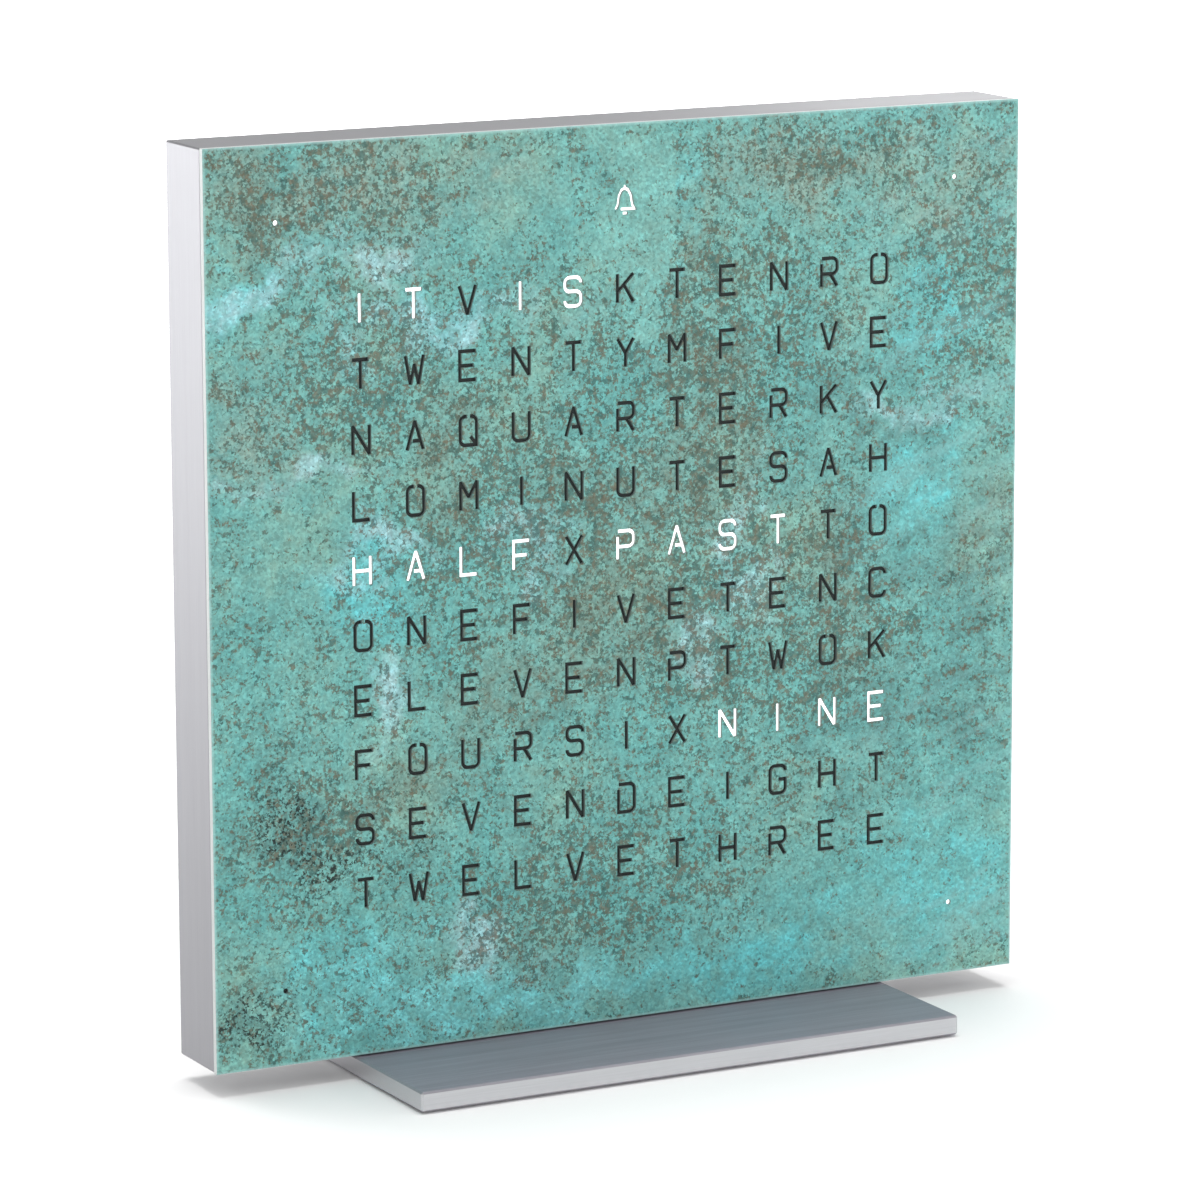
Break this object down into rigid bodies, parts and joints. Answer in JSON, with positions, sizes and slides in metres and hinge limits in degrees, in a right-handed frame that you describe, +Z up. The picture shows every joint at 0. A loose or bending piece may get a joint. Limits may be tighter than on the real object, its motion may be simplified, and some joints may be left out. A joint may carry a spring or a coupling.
{
  "type": "word clock",
  "caption": "Square desk word clock with a thin aluminium body on a flat foot, a lift-off patinated front cover, a lit letter grid and setting buttons behind.",
  "frame": {"origin": "on the surface it stands on, under the middle of the foot and of the body", "axes": "+Z up; the front faces -Y; +X along the front, to the right as seen from the front"},
  "size_m": [0.135, 0.0564, 0.1386],
  "materials": {
    "cover_patina": "oxidised verdigris coat on steel",
    "body_aluminium": "brushed and clear anodised",
    "foot_aluminium": "brushed and clear anodised",
    "magnet_nickel": "nickel plated",
    "diffuser_white": "translucent white sheet",
    "guide_white": "moulded white",
    "board_laminate": "green solder mask",
    "led_package": "white package",
    "chip_black": "moulded epoxy",
    "component_metal": "tinned steel can",
    "ceramic_brown": "fired ceramic chip",
    "holder_black": "moulded black",
    "cell_steel": "stainless can",
    "socket_steel": "formed stainless shell",
    "switch_metal": "stainless can",
    "plunger_plastic": "moulded natural nylon",
    "rear_plastic": "moulded black with a fine grain",
    "button_plastic": "moulded dark grey",
    "screw_steel": "plain zinc",
    "bar_steel": "zinc plated",
    "gasket_rubber": "thin black sheet",
    "pad_rubber": "soft matt pad"
  },
  "bodies": {
    "clock_body": {"housing": "body_aluminium", "diffuser": "diffuser_white", "light_guide": "guide_white", "housing_magnets": "magnet_nickel", "led_board": "board_laminate", "leds": "led_package", "board_screws": "screw_steel", "controller_chip": "chip_black", "driver_chips": "chip_black", "crystal": "component_metal", "inductor": "chip_black", "capacitors": "ceramic_brown", "cell_holder": "holder_black", "coin_cell": "cell_steel", "buzzer": "holder_black", "power_inlet": "socket_steel", "button_switches": "switch_metal", "rear_cover": "rear_plastic", "rear_screws": "screw_steel", "foot_plate": "foot_aluminium", "foot_gasket": "gasket_rubber", "foot_bar": "bar_steel", "foot_screws": "screw_steel", "foot_pads": "pad_rubber"},
    "cover": {"front_cover": "cover_patina", "cover_magnets": "magnet_nickel"},
    "push_1": {"button_1": "button_plastic", "plunger_1": "plunger_plastic"},
    "push_2": {"button_2": "button_plastic", "plunger_2": "plunger_plastic"},
    "push_3": {"button_3": "button_plastic", "plunger_3": "plunger_plastic"},
    "push_4": {"button_4": "button_plastic", "plunger_4": "plunger_plastic"}
  },
  "joints": [
    {"name": "cover_pull", "type": "slide", "parent": "clock_body", "child": "cover", "axis": [0, -1, 0], "range_m": [0, 0.03]},
    {"name": "button_1_press", "type": "slide", "parent": "clock_body", "child": "push_1", "axis": [0, -1, 0], "range_m": [0, 0.0005], "stiffness_N_per_m": 2000},
    {"name": "button_2_press", "type": "slide", "parent": "clock_body", "child": "push_2", "axis": [0, -1, 0], "range_m": [0, 0.0005], "stiffness_N_per_m": 2000},
    {"name": "button_3_press", "type": "slide", "parent": "clock_body", "child": "push_3", "axis": [0, -1, 0], "range_m": [0, 0.0005], "stiffness_N_per_m": 2000},
    {"name": "button_4_press", "type": "slide", "parent": "clock_body", "child": "push_4", "axis": [0, -1, 0], "range_m": [0, 0.0005], "stiffness_N_per_m": 2000}
  ]
}
